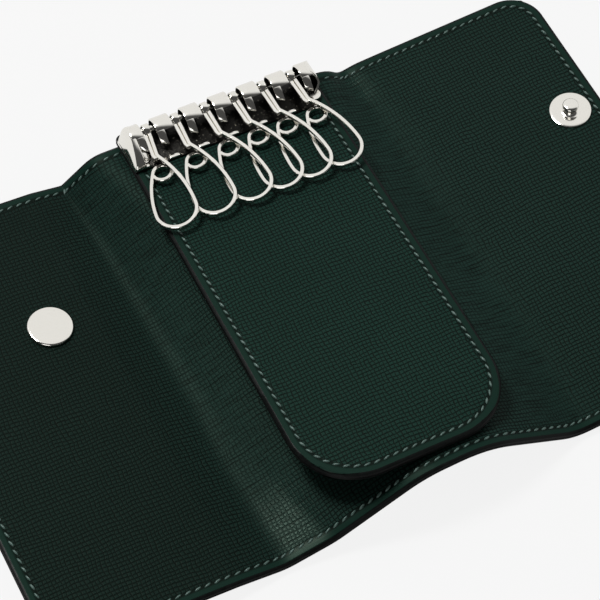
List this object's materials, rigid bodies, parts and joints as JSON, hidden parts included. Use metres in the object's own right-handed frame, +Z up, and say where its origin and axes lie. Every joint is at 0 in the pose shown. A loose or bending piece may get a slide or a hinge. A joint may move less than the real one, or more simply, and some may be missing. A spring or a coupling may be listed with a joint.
{
  "type": "key case",
  "caption": "Open tri-fold leather key case with a stitched tongue, a metal bar of swinging snap hooks for keys and a press snap that keeps it shut.",
  "frame": {"origin": "under the middle of the open case, on the surface it lies on", "axes": "+X across the three panels towards the stud, +Y along the tongue towards the key bar, +Z up"},
  "size_m": [0.166, 0.1084, 0.0178],
  "materials": {
    "leather": "dark green, fine cross-hatched grain, semi-gloss",
    "lining": "dark green, fine cross-hatched grain, semi-gloss",
    "nickel": "polished pale nickel"
  },
  "bodies": {
    "case": {"spine_leather": "leather", "spine_lining": "lining", "left_fold_leather": "leather", "left_fold_lining": "lining", "right_fold_leather": "leather", "right_fold_lining": "lining", "tongue_head_leather": "leather", "tongue_head_lining": "lining", "tongue_bend_leather": "leather", "tongue_bend_lining": "lining", "key_bar": "nickel", "pivot_rod": "nickel", "bar_rivets": "nickel", "rivet_washers": "nickel"},
    "left_panel": {"left_cover_leather": "leather", "left_cover_lining": "lining", "socket_cap": "nickel", "snap_socket": "nickel", "socket_spring": "nickel"},
    "right_panel": {"right_cover_leather": "leather", "right_cover_lining": "lining", "snap_stud": "nickel", "stud_cap": "nickel"},
    "tongue_flap": {"tongue_flap_leather": "leather", "tongue_flap_lining": "lining"},
    "hook_1": {"hook_1": "nickel"},
    "gate_1": {"gate_1": "nickel"},
    "hook_2": {"hook_2": "nickel"},
    "gate_2": {"gate_2": "nickel"},
    "hook_3": {"hook_3": "nickel"},
    "gate_3": {"gate_3": "nickel"},
    "hook_4": {"hook_4": "nickel"},
    "gate_4": {"gate_4": "nickel"},
    "hook_5": {"hook_5": "nickel"},
    "gate_5": {"gate_5": "nickel"},
    "hook_6": {"hook_6": "nickel"},
    "gate_6": {"gate_6": "nickel"}
  },
  "joints": [
    {"name": "left_fold", "type": "hinge", "parent": "case", "child": "left_panel", "pos_m": [-0.03167, 0, 0.01094], "axis": [0, 1, 0], "range_deg": [0, 174], "deforming": ["left_fold_leather", "left_fold_lining"]},
    {"name": "right_fold", "type": "hinge", "parent": "case", "child": "right_panel", "pos_m": [0.03153, 0, 0.01315], "axis": [0, -1, 0], "range_deg": [0, 176.5], "deforming": ["right_fold_leather", "right_fold_lining"]},
    {"name": "tongue_lift", "type": "hinge", "parent": "case", "child": "tongue_flap", "pos_m": [0.00298, 0.05003, 0.01248], "axis": [0.999, 0, -0.0456], "range_deg": [-35, 0], "deforming": ["tongue_bend_leather", "tongue_bend_lining"]},
    {"name": "hook_1_swing", "type": "hinge", "parent": "tongue_flap", "child": "hook_1", "pos_m": [-0.01475, 0.05003, 0.01329], "axis": [0.999, 0, -0.0456], "range_deg": [-95, 0]},
    {"name": "gate_1_press", "type": "hinge", "parent": "hook_1", "child": "gate_1", "pos_m": [-0.02205, 0.02555, 0.01381], "axis": [0.127, -0.0587, -0.9902], "range_deg": [0, 11], "stiffness_Nm_per_rad": 0.02},
    {"name": "hook_2_swing", "type": "hinge", "parent": "tongue_flap", "child": "hook_2", "pos_m": [-0.00766, 0.05003, 0.01297], "axis": [0.999, 0, -0.0456], "range_deg": [-95, 0]},
    {"name": "gate_2_press", "type": "hinge", "parent": "hook_2", "child": "gate_2", "pos_m": [-0.0128, 0.02501, 0.01341], "axis": [0.1284, -0.0437, -0.9908], "range_deg": [0, 11], "stiffness_Nm_per_rad": 0.02},
    {"name": "hook_3_swing", "type": "hinge", "parent": "tongue_flap", "child": "hook_3", "pos_m": [-0.00057, 0.05003, 0.01265], "axis": [0.999, 0, -0.0456], "range_deg": [-95, 0]},
    {"name": "gate_3_press", "type": "hinge", "parent": "hook_3", "child": "gate_3", "pos_m": [-0.00395, 0.02471, 0.01301], "axis": [0.1286, -0.0316, -0.9912], "range_deg": [0, 11], "stiffness_Nm_per_rad": 0.02},
    {"name": "hook_4_swing", "type": "hinge", "parent": "tongue_flap", "child": "hook_4", "pos_m": [0.00653, 0.05003, 0.01232], "axis": [0.999, 0, -0.0456], "range_deg": [-95, 0]},
    {"name": "gate_4_press", "type": "hinge", "parent": "hook_4", "child": "gate_4", "pos_m": [0.00358, 0.02465, 0.01267], "axis": [0.1285, -0.0285, -0.9913], "range_deg": [0, 11], "stiffness_Nm_per_rad": 0.02},
    {"name": "hook_5_swing", "type": "hinge", "parent": "tongue_flap", "child": "hook_5", "pos_m": [0.01362, 0.05003, 0.012], "axis": [0.999, 0, -0.0456], "range_deg": [-95, 0]},
    {"name": "gate_5_press", "type": "hinge", "parent": "hook_5", "child": "gate_5", "pos_m": [0.01068, 0.02465, 0.01235], "axis": [0.1285, -0.0285, -0.9913], "range_deg": [0, 11], "stiffness_Nm_per_rad": 0.02},
    {"name": "hook_6_swing", "type": "hinge", "parent": "tongue_flap", "child": "hook_6", "pos_m": [0.02071, 0.05003, 0.01167], "axis": [0.999, 0, -0.0456], "range_deg": [-95, 0]},
    {"name": "gate_6_press", "type": "hinge", "parent": "hook_6", "child": "gate_6", "pos_m": [0.01821, 0.0246, 0.01201], "axis": [0.1284, -0.0255, -0.9914], "range_deg": [0, 11], "stiffness_Nm_per_rad": 0.02}
  ]
}
